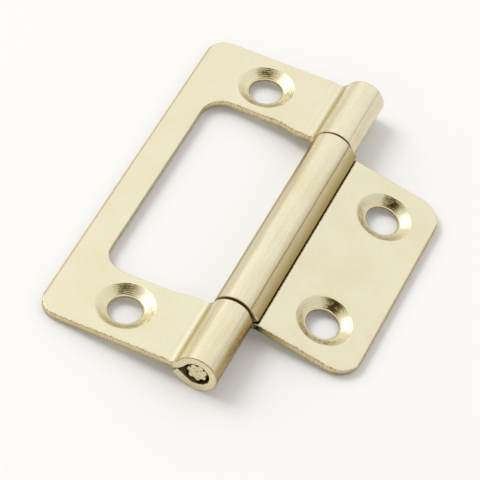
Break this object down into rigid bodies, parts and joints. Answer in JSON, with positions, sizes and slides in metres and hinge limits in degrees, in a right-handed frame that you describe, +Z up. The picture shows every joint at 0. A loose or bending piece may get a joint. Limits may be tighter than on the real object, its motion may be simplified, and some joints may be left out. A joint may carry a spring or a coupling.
{
  "type": "flush hinge",
  "caption": "Flush hinge in pale brassed sheet steel: frame-shaped outer leaf, smaller leaf that nests in its window, countersunk screw holes and rolled knuckles round a ribbed pin.",
  "frame": {"origin": "on the table, under the middle of the open hinge", "axes": "+Y along the pin, +X from the outer leaf to the inner leaf, +Z up from the table, through the faces with the countersinks"},
  "size_m": [0.0358, 0.05, 0.0052],
  "materials": {
    "brassed_sheet": "satin pale brass plating on steel sheet",
    "brassed_pin": "bright pale brass plating on a steel pin"
  },
  "bodies": {
    "outer": {"outer_leaf": "brassed_sheet", "hinge_pin": "brassed_pin"},
    "inner": {"inner_leaf": "brassed_sheet"}
  },
  "joints": [
    {"name": "leaf_hinge", "type": "hinge", "parent": "outer", "child": "inner", "pos_m": [0.00236, 0, 0.0026], "axis": [0, -1, 0], "range_deg": [0, 193.5]}
  ]
}
